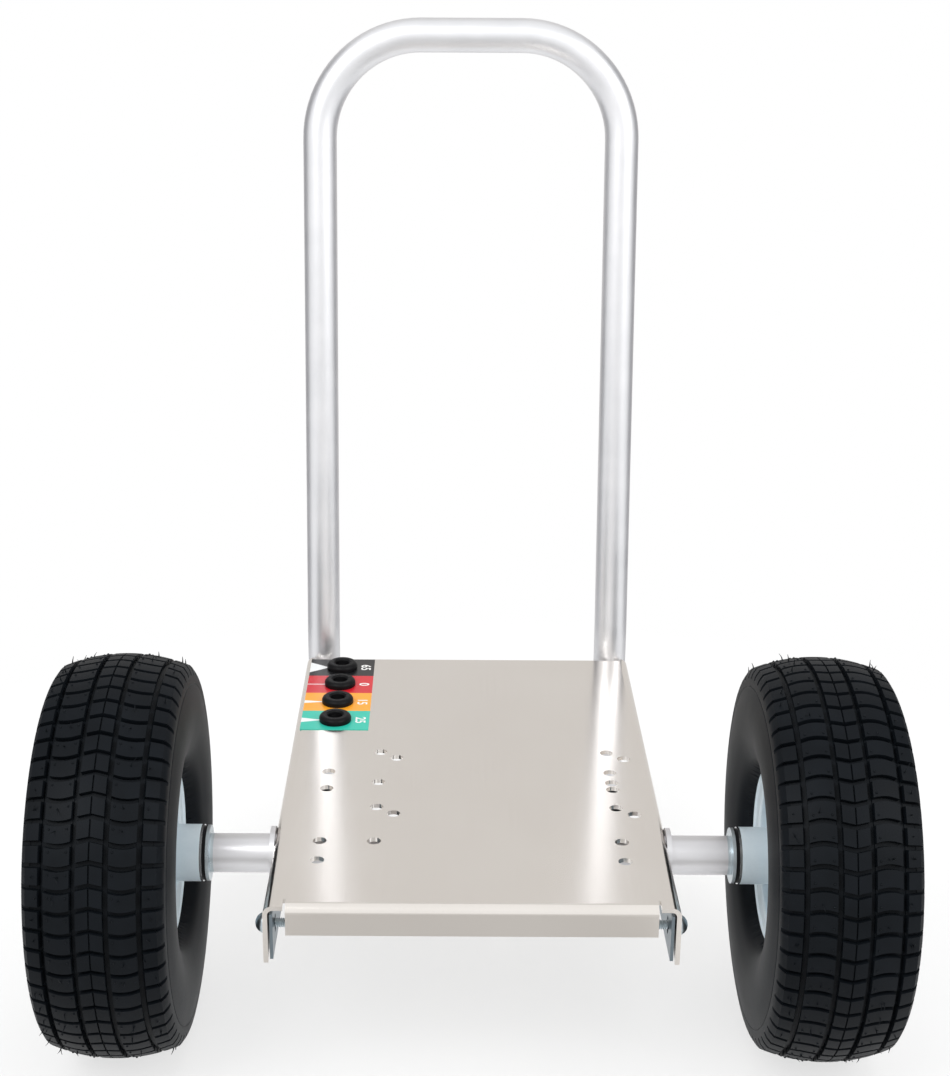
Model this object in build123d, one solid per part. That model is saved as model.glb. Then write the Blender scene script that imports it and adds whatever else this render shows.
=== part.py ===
"""A two-wheeled hand cart that carries a pressure washer's engine and pump.

A folded sheet plate is the deck. A U-shaped tube stands behind it: its top is the handle and its
two lower ends are the rear legs. An axle tube runs across under the deck, and a steel shaft in it
carries two pneumatic wheels on ball bearings.

Frame: X to the right, Y from the front lip towards the handle, Z up. The origin is on the floor,
under the middle of the cart's outer box. Lengths are in millimetres.
"""
import os
from math import cos, radians, sin, sqrt, tan

from build123d import *

# Deck sheet
plate_width = 254.0
plate_length = 381.0
sheet = 3.0
side_bend_radius = 6.0
side_flange_depth = 39.0
front_lip_depth = 20.0
front_lip_width = 226.6
front_bend_radius = 6.0
rear_lip_depth = 36.0
rear_bend_radius = 4.0
relief_width = 1.5
relief_depth = 3.0

# Rows and columns of machine holes in the deck: across, along, centre x, centre behind the front
large_base_across = 195.0
large_base_along = 98.5
small_base_across = 160.0
small_base_along = 83.0
machine_hole_d = 9.0
large_rear_setback = 131.4
large_front_setback = 106.2
small_rear_setback = 170.2
small_offset_setback = 161.0
small_offset_x = 29.0

# Nozzle holders at the left of the deck
label_width = 50.0
label_length = 128.8
label_thickness = 0.4
label_side_margin = 4.0
label_rear_margin = 4.5
nozzle_count = 4
grommet_side_margin = 29.0
grommet_flange_d = 23.5
grommet_bore_d = 11.0
grommet_hole_d = 16.0
grommet_proud = 5.0
grommet_under = 3.0

# Handle and leg tube
tube_d = 25.4
tube_wall = 2.0
handle_top_rise = 474.0
handle_lean = 8.1
handle_corner_radius = 76.2
lean_bend_radius = 76.2
lean_bend_rise = 20.0
tube_lip_gap = 0.05
leg_tip_d = 33.0
leg_tip_height = 30.0
leg_tip_floor = 6.0
tip_grip = 0.05
handle_bolt_d = 6.0
handle_bolt_first_drop = 13.0
handle_bolt_pitch = 14.0
bolt_clearance = 0.3
saddle_size = 12.0
saddle_thickness = 2.5
nut_height_ratio = 0.8
head_height_ratio = 0.65
hex_across_flats_ratio = 1.6

# Axle under the deck
axle_setback = 95.0
axle_tube_d = 25.4
axle_tube_wall = 2.5
axle_tube_deck_gap = 0.6
axle_tube_reach = 167.0
collar_d = 35.0
collar_thickness = 3.2
weld_gap = 0.05
shaft_d = 15.9
running_clearance = 0.05
bush_length = 24.0
bush_flange = 2.5
thrust_washer_d = 36.2
thrust_washer_thickness = 2.0
axial_play = 0.3
cotter_d = 3.0
cotter_length = 27.0
cotter_eye_d = 8.0
cotter_end_margin = 5.0
cotter_gap = 0.3

# Slotted side rails and tie rod
rail_thickness = 2.0
rail_flange_gap = 0.8
rail_top_gap = 4.0
rail_bottom_gap = 1.0
rail_front_gap = 2.5
rail_behind_axle = 34.0
rail_slot_height = 12.0
tie_rod_d = 6.35
tie_rod_setback = 20.0
tie_rod_drop = 23.0
dome_nut_d = 13.5
dome_nut_height = 6.5
tie_rod_clearance = 0.1

# Wheel
tyre_d = 260.0
tyre_width = 91.5
tyre_shoulder_drop = 9.0
tyre_crown_half = 37.0
tyre_wall = 6.0
bead_width = 7.0
tread_thickness = 10.0
groove_width = 2.6
groove_depth = 3.5
rib_pitch = 19.4
wheel_centre_x = 225.4
rim_sheet = 2.0
bead_seat_d = 101.6
rim_lip_d = 114.0
rim_half_width = 31.0
rim_seat_start = 9.0
rim_disc_knee_d = 76.0
hub_d = 37.0
hub_length = 84.0
hub_wall = 2.5
seal_thickness = 2.0
bearing_width = 11.0
bearing_flange = 1.5
race_wall = 1.7
ball_d = 4.4
ball_count = 8
rim_bolt_circle_d = 58.0
rim_bolt_d = 6.0
rim_bolt_count = 4
valve_stem_d = 9.0
valve_stem_length = 15.0
valve_cap_d = 7.0
valve_cap_length = 7.0
valve_offset = 13.0
inner_tube_wall = 1.5
inner_tube_side_gap = 9.0
inner_tube_crown_gap = 2.0
inner_tube_seat_gap = 0.3

# Places that follow from the sizes
tube_r = tube_d / 2
handle_centres = plate_width - tube_d
axle_z = tyre_d / 2
lean = radians(handle_lean)
deck_top_z = axle_z + axle_tube_d / 2 + axle_tube_deck_gap + sheet
deck_under_z = deck_top_z - sheet
leg_from_rear = tube_r + tube_lip_gap
lean_run = (handle_top_rise - lean_bend_rise) * tan(lean)
rear_reach = plate_length - axle_setback + leg_from_rear + lean_run + tube_r
axle_y = (tyre_d / 2 - rear_reach) / 2
front_y = axle_y - axle_setback
rear_y = front_y + plate_length
leg_y = rear_y + leg_from_rear
flange_inner_x = plate_width / 2 - sheet
hub_start_x = (axle_tube_reach + bush_flange + thrust_washer_thickness + axial_play
               + seal_thickness + bearing_flange)
hub_end_x = hub_start_x + hub_length
outer_washer_x = hub_end_x + bearing_flange + seal_thickness + axial_play
cotter_x = outer_washer_x + thrust_washer_thickness + cotter_gap + cotter_d / 2
shaft_end_x = cotter_x + cotter_end_margin


def along_x(shape, x):
    """Turn a shape made about the Z axis to lie along X, centred at x on the axle."""
    return Pos(x, axle_y, axle_z) * Rot(0, 90, 0) * shape


def ring_x(outer_d, inner_d, start_x, end_x):
    """A plain ring on the axle's line between two places along X."""
    length = end_x - start_x
    ring = Cylinder(outer_d / 2, length)
    if inner_d > 0:
        ring -= Cylinder(inner_d / 2, length)
    return along_x(ring, (start_x + end_x) / 2)


def spun(face, x):
    """Revolve a face drawn as (along the axle, radius) and set its origin at x on the axle."""
    return Pos(x, axle_y, axle_z) * revolve(face, Axis.X)


def on_side(shape, side):
    """The right-hand piece, or its mirror image for the left."""
    return shape if side > 0 else mirror(shape, about=Plane.YZ)


def hex_prism(across_flats, height):
    """A hexagonal prism that stands on the XY plane."""
    return extrude(RegularPolygon(across_flats / sqrt(3), 6), height)


def unit(vector):
    return vector / vector.length


def bent_wire(points, radii):
    """Straight runs through the points, with a tangent arc of its own radius at each corner."""
    edges = []
    last = points[0]
    for before, corner, after, radius in zip(points, points[1:], points[2:], radii):
        run_in = unit(corner - before)
        run_out = unit(after - corner)
        half_turn = radians(run_in.get_angle(run_out)) / 2
        tangent = radius * tan(half_turn)
        towards_centre = unit(run_out - run_in)
        centre = corner + towards_centre * (radius / cos(half_turn))
        start = corner - run_in * tangent
        end = corner + run_out * tangent
        edges.append(Edge.make_line(last, start))
        edges.append(Edge.make_three_point_arc(start, centre - towards_centre * radius, end))
        last = end
    edges.append(Edge.make_line(last, points[-1]))
    return Wire(edges)


def machine_holes():
    """Centres of the deck's machine holes as (x, distance behind the front edge)."""
    small_centre_x = (large_base_across - small_base_across) / 2
    front_row = large_rear_setback - large_base_along / 2
    small_front_setback = front_row + small_base_along / 2
    large, small = (large_base_across, large_base_along), (small_base_across, small_base_along)
    patterns = [
        (large, 0.0, large_rear_setback),
        (large, 0.0, large_front_setback),
        (small, small_centre_x, small_rear_setback),
        (small, small_centre_x, small_front_setback),
        (small, small_offset_x, small_offset_setback),
    ]
    centres = set()
    for (across, along), x, setback in patterns:
        for side in (-1, 1):
            for end in (-1, 1):
                centres.add((round(x + side * across / 2, 6), round(setback + end * along / 2, 6)))
    return sorted(centres)


def nozzle_places():
    """Centres of the nozzle grommets on the deck, from the rear one forwards."""
    pitch = label_length / nozzle_count
    x = -plate_width / 2 + grommet_side_margin
    return [(x, rear_y - label_rear_margin - pitch * (i + 0.5)) for i in range(nozzle_count)]


def turned_lip(width, depth, bend_radius, edge_y, facing):
    """A lip bent down from the deck at edge_y. facing is -1 at the front and 1 at the rear."""
    leg_bottom = deck_top_z - depth
    block = Box(width, bend_radius + sheet, depth, align=(Align.CENTER, Align.MAX, Align.MAX))
    hollow = Box(width, bend_radius + sheet, depth, align=(Align.CENTER, Align.MAX, Align.MAX))
    block = fillet(block.edges().filter_by(Axis.X).sort_by(lambda e: e.center().Z + e.center().Y)[-1:],
                   bend_radius)
    hollow = fillet(hollow.edges().filter_by(Axis.X).sort_by(lambda e: e.center().Z + e.center().Y)[-1:],
                    bend_radius - sheet)
    strip = block - Pos(0, -sheet, -sheet) * hollow
    if facing < 0:
        strip = mirror(strip, about=Plane.XZ)
    return Pos(0, edge_y, leg_bottom + depth) * strip


def base_plate():
    """The deck: side flanges, a narrow front lip, a rear lip and all the holes."""
    middle_y = (front_y + rear_y) / 2
    top = (Align.CENTER, Align.CENTER, Align.MAX)
    outer = Box(plate_width, plate_length, side_flange_depth, align=top)
    outer = fillet(outer.edges().filter_by(Axis.Y).group_by(Axis.Z)[-1], side_bend_radius)
    inner = Box(plate_width - 2 * sheet, plate_length, side_flange_depth, align=top)
    inner = fillet(inner.edges().filter_by(Axis.Y).group_by(Axis.Z)[-1], side_bend_radius - sheet)
    deck = Pos(0, middle_y, deck_top_z) * (outer - Pos(0, 0, -sheet) * inner)
    rear_lip_width = plate_width - 2 * side_bend_radius
    lips = [
        (front_lip_width, front_lip_depth, front_bend_radius, front_y, -1),
        (rear_lip_width, rear_lip_depth, rear_bend_radius, rear_y, 1),
    ]
    for width, depth, bend_radius, edge_y, facing in lips:
        run = bend_radius + relief_depth
        gap_width = min(width + 2 * relief_width, plate_width - 2 * side_bend_radius)
        gap = Box(gap_width, 2 * run, 4 * sheet)
        deck -= Pos(0, edge_y, deck_top_z) * gap
        filler = Box(width, relief_depth, sheet, align=(Align.CENTER, Align.MIN, Align.MAX))
        filler_y = edge_y + bend_radius if facing < 0 else edge_y - run
        deck += Pos(0, filler_y, deck_top_z) * filler
        deck += turned_lip(width, depth, bend_radius, edge_y, facing)
    for x, setback in machine_holes():
        deck -= Pos(x, front_y + setback, deck_top_z) * Cylinder(machine_hole_d / 2, 4 * sheet)
    for x, y in nozzle_places():
        deck -= Pos(x, y, deck_top_z) * Cylinder(grommet_hole_d / 2, 4 * sheet)
    deck -= ring_x(axle_tube_d + 2 * weld_gap, 0, -plate_width, plate_width)
    rod_hole = Cylinder(tie_rod_d / 2 + tie_rod_clearance, 2 * plate_width)
    deck -= Pos(0, front_y + tie_rod_setback, deck_top_z - tie_rod_drop) * Rot(0, 90, 0) * rod_hole
    for place in handle_bolt_places():
        hole = Cylinder((handle_bolt_d + bolt_clearance) / 2, 4 * sheet)
        deck -= place * hole
    return deck


def handle_bolt_places():
    """Where the handle bolts cross the rear lip. Local Z points to the rear."""
    places = []
    for side in (-1, 1):
        for row in range(2):
            z = deck_top_z - handle_bolt_first_drop - row * handle_bolt_pitch
            places.append(Pos(side * handle_centres / 2, rear_y, z) * Rot(-90, 0, 0))
    return places


def handle_frame():
    """The U tube: handle above, legs below, drilled for the bolts."""
    x = handle_centres / 2
    bend_z = deck_top_z + lean_bend_rise
    top = Vector(0, leg_y + lean_run, deck_top_z + handle_top_rise)
    points = [
        Vector(x, leg_y, leg_tip_floor),
        Vector(x, leg_y, bend_z),
        Vector(x, top.Y, top.Z),
        Vector(-x, top.Y, top.Z),
        Vector(-x, leg_y, bend_z),
        Vector(-x, leg_y, leg_tip_floor),
    ]
    radii = [lean_bend_radius, handle_corner_radius, handle_corner_radius, lean_bend_radius]
    path = bent_wire(points, radii)
    section = Circle(tube_r) - Circle(tube_r - tube_wall)
    tube = sweep(Plane(origin=points[0], z_dir=(0, 0, 1)) * section, path=path)
    for place in handle_bolt_places():
        hole = Cylinder((handle_bolt_d + bolt_clearance) / 2, 4 * tube_d)
        tube -= place * hole
    return tube


def leg_tip(side):
    """A rubber ferrule on the leg's lower end, with two grip grooves."""
    outside = Cylinder(leg_tip_d / 2, leg_tip_height, align=(Align.CENTER, Align.CENTER, Align.MIN))
    outside = chamfer(outside.edges().group_by(Axis.Z)[-1], 1.5)
    outside = chamfer(outside.edges().group_by(Axis.Z)[0], 1.0)
    socket = Cylinder(tube_r + tip_grip, leg_tip_height, align=(Align.CENTER, Align.CENTER, Align.MIN))
    tip = outside - Pos(0, 0, leg_tip_floor) * socket
    groove = Cylinder(leg_tip_d, 1.6) - Cylinder(leg_tip_d / 2 - 1.0, 1.6)
    for z in (leg_tip_height * 0.35, leg_tip_height * 0.6):
        tip -= Pos(0, 0, z) * groove
    return Pos(side * handle_centres / 2, leg_y, 0) * tip


def handle_bolts():
    """Hexagon bolts from inside the rear lip, through lip and tube."""
    length = sheet + tube_lip_gap + tube_d + saddle_thickness + handle_bolt_d * nut_height_ratio + 2
    head = handle_bolt_d * head_height_ratio
    bolt = Pos(0, 0, -head) * hex_prism(handle_bolt_d * hex_across_flats_ratio, head)
    bolt += Cylinder(handle_bolt_d / 2, length, align=(Align.CENTER, Align.CENTER, Align.MIN))
    return Compound([place * Pos(0, 0, -sheet) * bolt for place in handle_bolt_places()])


def handle_saddles():
    """Saddle washers, hollowed to sit on the tube's back."""
    depth = saddle_thickness + tube_r / 3
    block = Box(saddle_size, saddle_size, depth, align=(Align.CENTER, Align.CENTER, Align.MAX))
    block = Pos(0, 0, tube_d + tube_lip_gap + saddle_thickness) * block
    block -= Pos(0, 0, tube_r + tube_lip_gap) * Rot(90, 0, 0) * Cylinder(tube_r + weld_gap, 2 * tube_d)
    block -= Cylinder((handle_bolt_d + bolt_clearance) / 2, 4 * tube_d)
    return Compound([place * block for place in handle_bolt_places()])


def handle_nuts():
    """Hexagon nuts on the saddles."""
    seat = tube_d + tube_lip_gap + saddle_thickness
    nut = Pos(0, 0, seat) * hex_prism(handle_bolt_d * hex_across_flats_ratio, handle_bolt_d * nut_height_ratio)
    nut -= Cylinder(handle_bolt_d / 2, 6 * tube_d)
    return Compound([place * nut for place in handle_bolt_places()])


def nozzle_label():
    """The printed sheet under the grommets, with a hole for each."""
    x = -plate_width / 2 + label_side_margin + label_width / 2
    y = rear_y - label_rear_margin - label_length / 2
    label = Box(label_width, label_length, label_thickness, align=(Align.CENTER, Align.CENTER, Align.MIN))
    label = Pos(x, y, deck_top_z) * label
    for gx, gy in nozzle_places():
        label -= Pos(gx, gy, deck_top_z) * Cylinder(grommet_hole_d / 2, 4 * sheet)
    return label


def nozzle_grommet(place):
    """A rubber grommet: flange above the deck, neck in the hole, smaller flange below."""
    neck_r = grommet_hole_d / 2 - weld_gap
    bore_r = grommet_bore_d / 2
    top_r = grommet_flange_d / 2
    floor = label_thickness
    with BuildPart() as grommet:
        with BuildSketch(Plane.XZ):
            with BuildLine():
                Polyline(
                    (bore_r, -sheet - grommet_under),
                    (neck_r + 1.5, -sheet - grommet_under),
                    (neck_r + 2.5, -sheet),
                    (neck_r, -sheet),
                    (neck_r, floor),
                    (top_r, floor),
                    (top_r, floor + grommet_proud * 0.45),
                )
                RadiusArc((top_r, floor + grommet_proud * 0.45),
                          (top_r - 3.0, floor + grommet_proud), -3.2)
                Polyline(
                    (top_r - 3.0, floor + grommet_proud),
                    (bore_r + 1.2, floor + grommet_proud),
                    (bore_r, floor + grommet_proud - 1.2),
                    (bore_r, -sheet - grommet_under),
                )
            make_face()
        revolve(axis=Axis.Z)
    return Pos(place[0], place[1], deck_top_z) * grommet.part


def axle_tube():
    inner_d = axle_tube_d - 2 * axle_tube_wall
    return ring_x(axle_tube_d, inner_d, -axle_tube_reach, axle_tube_reach)


def axle_collar():
    start = plate_width / 2
    return ring_x(collar_d, axle_tube_d + 2 * weld_gap, start, start + collar_thickness)


def axle_bush():
    """A flanged bush that centres the shaft in the end of the axle tube."""
    bore = shaft_d + 2 * running_clearance
    body_d = axle_tube_d - 2 * axle_tube_wall - 2 * running_clearance
    body = ring_x(body_d, bore, axle_tube_reach - bush_length, axle_tube_reach)
    return body + ring_x(axle_tube_d, bore, axle_tube_reach, axle_tube_reach + bush_flange)


def axle_shaft():
    """The steel shaft, chamfered and cross-drilled at both ends for the cotter pins."""
    shaft = Cylinder(shaft_d / 2, 2 * shaft_end_x)
    shaft = chamfer(shaft.edges().filter_by(GeomType.CIRCLE), 1.2)
    shaft = along_x(shaft, 0)
    hole = Cylinder(cotter_d / 2 + running_clearance, 2 * shaft_d)
    for side in (-1, 1):
        shaft -= Pos(side * cotter_x, axle_y, axle_z) * hole
    return shaft


def cotter_pin():
    """A split pin shown closed: a round leg with an eye on top."""
    leg = Cylinder(cotter_d / 2, cotter_length)
    eye = Torus(cotter_eye_d / 2 - cotter_d / 4, cotter_d / 4)
    eye = Pos(0, 0, cotter_length / 2 + cotter_eye_d / 2 - cotter_d / 4) * Rot(0, 90, 0) * eye
    return Pos(cotter_x, axle_y, axle_z) * (leg + eye)


def thrust_washer():
    start = axle_tube_reach + bush_flange
    bore = shaft_d + 2 * running_clearance
    return ring_x(thrust_washer_d, bore, start, start + thrust_washer_thickness)


def outer_washer():
    bore = shaft_d + 2 * running_clearance
    return ring_x(thrust_washer_d, bore, outer_washer_x, outer_washer_x + thrust_washer_thickness)


def side_rail():
    """The slotted rail inside the side flange, hung on the axle tube and the tie rod."""
    top = deck_under_z - rail_top_gap
    bottom = deck_top_z - side_flange_depth + rail_bottom_gap
    start = front_y + rail_front_gap
    end = axle_y + rail_behind_axle
    x = flange_inner_x - rail_flange_gap - rail_thickness / 2
    rail = Box(rail_thickness, end - start, top - bottom)
    rail = fillet(rail.edges().filter_by(Axis.X).group_by(Axis.Y)[-1], 8.0)
    rail = Pos(x, (start + end) / 2, (top + bottom) / 2) * rail
    rail -= ring_x(axle_tube_d + 2 * weld_gap, 0, 0, plate_width)
    slot = SlotOverall(rail_slot_height, tie_rod_d + 2 * tie_rod_clearance, rotation=90)
    slot = Plane.YZ * extrude(slot, plate_width)
    return rail - Pos(0, front_y + tie_rod_setback, deck_top_z - tie_rod_drop) * slot


def tie_rod():
    rod = Cylinder(tie_rod_d / 2, plate_width + dome_nut_height)
    return Pos(0, front_y + tie_rod_setback, deck_top_z - tie_rod_drop) * Rot(0, 90, 0) * rod


def tie_rod_nut():
    """A low domed nut on the tie rod's end, against the side flange."""
    dome_radius = (dome_nut_height**2 + (dome_nut_d / 2) ** 2) / (2 * dome_nut_height)
    dome = Pos(0, 0, dome_nut_height - dome_radius) * Sphere(dome_radius)
    dome &= Cylinder(dome_nut_d / 2, dome_nut_height, align=(Align.CENTER, Align.CENTER, Align.MIN))
    dome -= Cylinder(tie_rod_d / 2, dome_nut_height)
    place = Pos(plate_width / 2, front_y + tie_rod_setback, deck_top_z - tie_rod_drop)
    return place * Rot(0, 90, 0) * dome


def tyre():
    """The tyre: five ribs between four grooves, round shoulders, walls down to the beads."""
    outer_r = tyre_d / 2
    half = tyre_width / 2
    bead_r = bead_seat_d / 2 + weld_gap
    bead_x = rim_half_width - 2 * rim_sheet
    clinch = (rim_half_width - rim_sheet, rim_lip_d / 2 + 1.5)
    widest_r = (outer_r + bead_r) / 2
    shoulder = (tyre_crown_half, outer_r - tyre_shoulder_drop)
    inner_bead_x = bead_x - bead_width
    with BuildPart() as body:
        with BuildSketch(Plane.XY):
            with BuildLine():
                Polyline((bead_x, bead_r), (bead_x, rim_lip_d / 2 - 3.0), clinch)
                Spline(clinch, (half, widest_r), tangents=((1, 0.8), (0, 1)))
                Spline((half, widest_r), (half - 1.7, shoulder[1] - 9.0), shoulder, tangents=((0, 1), (-1, 0.5)))
                ThreePointArc(shoulder, (0, outer_r), (-shoulder[0], shoulder[1]))
                Spline((-half, widest_r), (-half + 1.7, shoulder[1] - 9.0), (-shoulder[0], shoulder[1]),
                       tangents=((0, 1), (1, 0.5)))
                Spline((-clinch[0], clinch[1]), (-half, widest_r), tangents=((-1, 0.8), (0, 1)))
                Polyline((-clinch[0], clinch[1]), (-bead_x, rim_lip_d / 2 - 3.0), (-bead_x, bead_r),
                         (-inner_bead_x, bead_r))
                Spline((-inner_bead_x, bead_r), (-half + tyre_wall, widest_r),
                       (0, outer_r - tread_thickness), (half - tyre_wall, widest_r),
                       (inner_bead_x, bead_r), tangents=((-0.6, 1), (-0.6, -1)))
                Line((inner_bead_x, bead_r), (bead_x, bead_r))
            make_face()
            for position in (-1.5, -0.5, 0.5, 1.5):
                sag = tyre_shoulder_drop * (position * rib_pitch / tyre_crown_half) ** 2
                with Locations((position * rib_pitch, outer_r)):
                    Rectangle(groove_width, 2 * (groove_depth + sag), mode=Mode.SUBTRACT)
        revolve(axis=Axis.X)
    return Pos(wheel_centre_x, axle_y, axle_z) * body.part


def rim_half(side):
    """One pressed half: disc on the hub, knee, bead seat and rolled lip. side is 1 outside."""
    seat_r = bead_seat_d / 2 - rim_sheet / 2
    with BuildPart() as half:
        with BuildSketch(Plane.XY):
            with BuildLine() as line:
                FilletPolyline(
                    (side * rim_sheet / 2, hub_d / 2 + weld_gap),
                    (side * rim_sheet / 2, rim_disc_knee_d / 2),
                    (side * rim_seat_start, seat_r),
                    (side * (rim_half_width - 3.0), seat_r),
                    (side * (rim_half_width - 2.0), rim_lip_d / 2 - 1.0),
                    (side * rim_half_width, rim_lip_d / 2),
                    radius=1.2,
                )
            trace(line.line, rim_sheet)
        revolve(axis=Axis.X)
    piece = Pos(wheel_centre_x, axle_y, axle_z) * half.part
    for angle in bolt_angles():
        piece -= rim_bolt_place(angle) * Cylinder((rim_bolt_d + bolt_clearance) / 2, 12 * rim_sheet)
    if side > 0:
        piece -= valve_place() * Cylinder(valve_stem_d / 2 + running_clearance, 3 * rim_sheet)
    return piece


def bolt_angles():
    return [45 + i * 360 / rim_bolt_count for i in range(rim_bolt_count)]


def rim_bolt_place(angle):
    """A place on the rim's bolt circle, with local Z outwards along the axle."""
    turn = Pos(wheel_centre_x, axle_y, axle_z) * Rot(angle, 0, 0)
    return turn * Pos(0, 0, rim_bolt_circle_d / 2) * Rot(0, 90, 0)


def valve_place():
    """Where the valve stem crosses the outer bead seat, with local Z away from the axle."""
    turn = Pos(wheel_centre_x + valve_offset, axle_y, axle_z)
    return turn * Pos(0, 0, bead_seat_d / 2 - rim_sheet / 2)


def rim_bolts():
    """Bolts with low round heads on the outer half."""
    length = 2 * rim_sheet + rim_bolt_d * nut_height_ratio + 1.5
    head = rim_bolt_d * head_height_ratio
    shank = Pos(0, 0, rim_sheet - length / 2) * Cylinder(rim_bolt_d / 2, length)
    cap = Pos(0, 0, rim_sheet + head / 2) * Cylinder(rim_bolt_d * 0.95, head)
    cap = fillet(cap.edges().group_by(Axis.Z)[-1], head * 0.6)
    return Compound([rim_bolt_place(a) * (shank + cap) for a in bolt_angles()])


def rim_nuts():
    """Hexagon nuts on the inner half."""
    height = rim_bolt_d * nut_height_ratio
    nut = Pos(0, 0, -rim_sheet - height) * hex_prism(rim_bolt_d * hex_across_flats_ratio, height)
    nut -= Cylinder(rim_bolt_d / 2, 20 * rim_sheet)
    return Compound([rim_bolt_place(a) * nut for a in bolt_angles()])


def hub():
    """The hub tube, bored at each end for a bearing and relieved between."""
    bore = hub_d - 2 * hub_wall
    pocket = bearing_width
    body = ring_x(hub_d, bore - 4.0, hub_start_x, hub_end_x)
    body -= ring_x(bore, 0, hub_start_x, hub_start_x + pocket)
    return body - ring_x(bore, 0, hub_end_x - pocket, hub_end_x)


def bearing_spans():
    """Each bearing as (inner end, outer end, place of its flange, direction out of the hub)."""
    return [
        (hub_start_x, hub_start_x + bearing_width, -1),
        (hub_end_x - bearing_width, hub_end_x, 1),
    ]


def bearing_shells():
    """Flanged outer races, pressed into the hub's ends."""
    outer = hub_d - 2 * hub_wall - 2 * running_clearance
    bore = outer - 2 * race_wall
    shells = []
    for start, end, out in bearing_spans():
        shell = ring_x(outer, bore, start, end)
        if out < 0:
            shell += ring_x(hub_d, bore, start - bearing_flange, start)
        else:
            shell += ring_x(hub_d, bore, end, end + bearing_flange)
        shells.append(shell)
    return Compound(shells)


def ball_circle_r():
    """Radius at which the balls run, a running clearance inside the outer race."""
    outer_bore = hub_d / 2 - hub_wall - running_clearance - race_wall
    return outer_bore - running_clearance - ball_d / 2


def bearing_races():
    """Inner races on the shaft."""
    outer = 2 * (ball_circle_r() - ball_d / 2 - running_clearance)
    bore = shaft_d + 2 * running_clearance
    return Compound([ring_x(outer, bore, start, end) for start, end, _ in bearing_spans()])


def bearing_balls():
    balls = []
    for start, end, _ in bearing_spans():
        for i in range(ball_count):
            turn = Pos((start + end) / 2, axle_y, axle_z) * Rot(i * 360 / ball_count, 0, 0)
            balls.append(turn * Pos(0, 0, ball_circle_r()) * Sphere(ball_d / 2))
    return Compound(balls)


def hub_seals():
    """Rubber seals outside the bearing flanges, clear of the shaft."""
    bore = shaft_d + 4 * axial_play
    outer = thrust_washer_d - 0.8
    inside = hub_start_x - bearing_flange
    outside = hub_end_x + bearing_flange
    return Compound([
        ring_x(outer, bore, inside - seal_thickness, inside),
        ring_x(outer, bore, outside, outside + seal_thickness),
    ])


def inner_tube():
    """The air tube: a closed thin ring that rests on both bead seats."""
    half_width = tyre_width / 2 - tyre_wall - inner_tube_side_gap
    crown = tyre_d / 2 - tread_thickness - inner_tube_crown_gap
    seat = bead_seat_d / 2 + inner_tube_seat_gap
    share = sqrt(1 - (rim_seat_start / half_width) ** 2)
    radius = (crown - seat) / (1 + share)
    outside = Ellipse(half_width, radius)
    inside = Ellipse(half_width - inner_tube_wall, radius - inner_tube_wall)
    return spun(Pos(0, crown - radius) * (outside - inside), wheel_centre_x)


def valve_stem():
    """A short rubber stem that points at the hub."""
    stem = Cylinder(valve_stem_d / 2, valve_stem_length, align=(Align.CENTER, Align.CENTER, Align.MAX))
    return valve_place() * Pos(0, 0, rim_sheet / 2) * stem


def valve_cap():
    cap = Cylinder(valve_cap_d / 2, valve_cap_length, align=(Align.CENTER, Align.CENTER, Align.MAX))
    cap = fillet(cap.edges().group_by(Axis.Z)[0], 1.5)
    return valve_place() * Pos(0, 0, rim_sheet / 2 - valve_stem_length) * cap


nodes = {
    "base_plate": base_plate(),
    "handle_frame": handle_frame(),
    "handle_bolts": handle_bolts(),
    "handle_saddles": handle_saddles(),
    "handle_nuts": handle_nuts(),
    "nozzle_label": nozzle_label(),
    "axle_tube": axle_tube(),
    "axle_shaft": axle_shaft(),
    "tie_rod": tie_rod(),
}
for number, place in enumerate(nozzle_places(), 1):
    nodes[f"nozzle_grommet_{number}"] = nozzle_grommet(place)
for name, side in (("left", -1), ("right", 1)):
    pieces = {
        "axle_collar": axle_collar(),
        "axle_bush": axle_bush(),
        "thrust_washer": thrust_washer(),
        "outer_washer": outer_washer(),
        "cotter_pin": cotter_pin(),
        "side_rail": side_rail(),
        "tie_rod_nut": tie_rod_nut(),
        "bearing_races": bearing_races(),
        "tyre": tyre(),
        "inner_tube": inner_tube(),
        "rim_outer": rim_half(1),
        "rim_inner": rim_half(-1),
        "rim_bolts": rim_bolts(),
        "rim_nuts": rim_nuts(),
        "hub": hub(),
        "bearing_shells": bearing_shells(),
        "bearing_balls": bearing_balls(),
        "hub_seals": hub_seals(),
        "valve_stem": valve_stem(),
        "valve_cap": valve_cap(),
    }
    nodes[f"leg_tip_{name}"] = leg_tip(side)
    for piece, shape in pieces.items():
        nodes[f"{piece}_{name}"] = on_side(shape, side)

os.makedirs("parts", exist_ok=True)
for name, shape in nodes.items():
    export_step(shape, f"parts/{name}.step")
print(len(nodes), "nodes")
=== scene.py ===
# %% [markdown]
# # A pressure washer cart
#
# The cart is a folded stainless deck on two pneumatic wheels, with a bent tube that is handle and
# legs in one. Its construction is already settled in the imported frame. All of it could be modelled
# again here, but then looks and mechanism would drift apart. So this script only dresses the frame:
# it remembers the frame's box, makes the surfaces that need more detail from numpy grids, and gives
# every other piece its finish.

# %% Load the frame
import math

import bpy
import numpy as np
from mathutils import Matrix, Vector


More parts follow.
